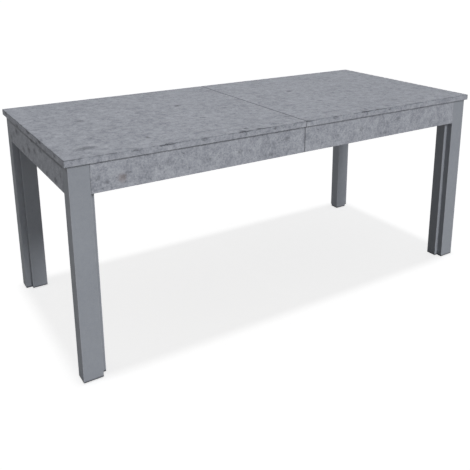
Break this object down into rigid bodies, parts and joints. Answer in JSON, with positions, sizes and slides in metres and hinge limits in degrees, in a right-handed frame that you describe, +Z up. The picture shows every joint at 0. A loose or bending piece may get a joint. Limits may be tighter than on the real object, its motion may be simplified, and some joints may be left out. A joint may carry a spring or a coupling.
{
  "type": "extendable dining table",
  "caption": "Rectangular extendable dining table on rebated legs: the halves pull apart on telescopic runners, and a leaf is stored under the top.",
  "frame": {"origin": "on the floor, under the middle of the closed table", "axes": "+X along the length towards the half that slides, -Y towards the front, +Z up"},
  "size_m": [1.8, 0.82, 0.77],
  "materials": {
    "concrete_laminate": "matt concrete-print laminate on particle board",
    "leg_foil": "matt grey foil on board",
    "beech": "planed, unvarnished",
    "beech_dowel": "turned dowel",
    "runner_steel": "zinc-plated, rolled",
    "zinc_steel": "bright zinc plate",
    "glide_plastic": "moulded"
  },
  "bodies": {
    "left_half": {"apron_back_left": "concrete_laminate", "apron_end_left": "concrete_laminate", "apron_front_left": "concrete_laminate", "brace_back_left": "beech", "brace_front_left": "beech", "glide_back_left": "glide_plastic", "glide_front_left": "glide_plastic", "hook_bracket_back": "zinc_steel", "hook_bracket_front": "zinc_steel", "hook_pivot_back": "zinc_steel", "hook_pivot_front": "zinc_steel", "leaf_ledger_back": "beech", "leaf_ledger_front": "beech", "leaf_stop": "beech", "leg_back_left": "leg_foil", "leg_bolt_lower_back_left": "zinc_steel", "leg_bolt_lower_front_left": "zinc_steel", "leg_bolt_upper_back_left": "zinc_steel", "leg_bolt_upper_front_left": "zinc_steel", "leg_front_left": "leg_foil", "runner_channel_back_left": "runner_steel", "runner_channel_front_left": "runner_steel", "seam_block_back_left": "beech", "seam_block_front_left": "beech", "seam_pin_1": "beech_dowel", "seam_pin_2": "beech_dowel", "seam_pin_3": "beech_dowel", "seam_pin_4": "beech_dowel", "top_left": "concrete_laminate"},
    "right_half": {"apron_back_right": "concrete_laminate", "apron_end_right": "concrete_laminate", "apron_front_right": "concrete_laminate", "brace_back_right": "beech", "brace_front_right": "beech", "glide_back_right": "glide_plastic", "glide_front_right": "glide_plastic", "hook_keeper_back": "zinc_steel", "hook_keeper_front": "zinc_steel", "leg_back_right": "leg_foil", "leg_bolt_lower_back_right": "zinc_steel", "leg_bolt_lower_front_right": "zinc_steel", "leg_bolt_upper_back_right": "zinc_steel", "leg_bolt_upper_front_right": "zinc_steel", "leg_front_right": "leg_foil", "runner_channel_back_right": "runner_steel", "runner_channel_front_right": "runner_steel", "seam_block_back_right": "beech", "seam_block_front_right": "beech", "top_right": "concrete_laminate"},
    "leaf": {"extension_leaf": "concrete_laminate", "leaf_pin_1": "beech_dowel", "leaf_pin_2": "beech_dowel", "leaf_pin_3": "beech_dowel", "leaf_pin_4": "beech_dowel"},
    "slider_front": {"runner_slider_front": "runner_steel"},
    "slider_back": {"runner_slider_back": "runner_steel"},
    "hook_front": {"swing_hook_front": "zinc_steel"},
    "hook_back": {"swing_hook_back": "zinc_steel"}
  },
  "joints": [
    {"name": "right_half_slide", "type": "slide", "parent": "left_half", "child": "right_half", "axis": [1, 0, 0], "range_m": [0, 0.5]},
    {"name": "slider_front_slide", "type": "slide", "parent": "left_half", "child": "slider_front", "axis": [1, 0, 0], "range_m": [0, 0.25]},
    {"name": "slider_back_slide", "type": "slide", "parent": "left_half", "child": "slider_back", "axis": [1, 0, 0], "range_m": [0, 0.25]},
    {"name": "leaf_slide", "type": "slide", "parent": "left_half", "child": "leaf", "axis": [1, 0, 0], "range_m": [0, 0.38]},
    {"name": "hook_front_swing", "type": "hinge", "parent": "left_half", "child": "hook_front", "pos_m": [-0.034, -0.348, 0.7277], "axis": [0, -1, 0], "range_deg": [0, 90]},
    {"name": "hook_back_swing", "type": "hinge", "parent": "left_half", "child": "hook_back", "pos_m": [-0.034, 0.348, 0.7277], "axis": [0, -1, 0], "range_deg": [0, 90]}
  ],
  "couplings": [
    {"joint": "slider_front_slide", "follows": "right_half_slide", "ratio": 0.5},
    {"joint": "slider_back_slide", "follows": "right_half_slide", "ratio": 0.5}
  ]
}
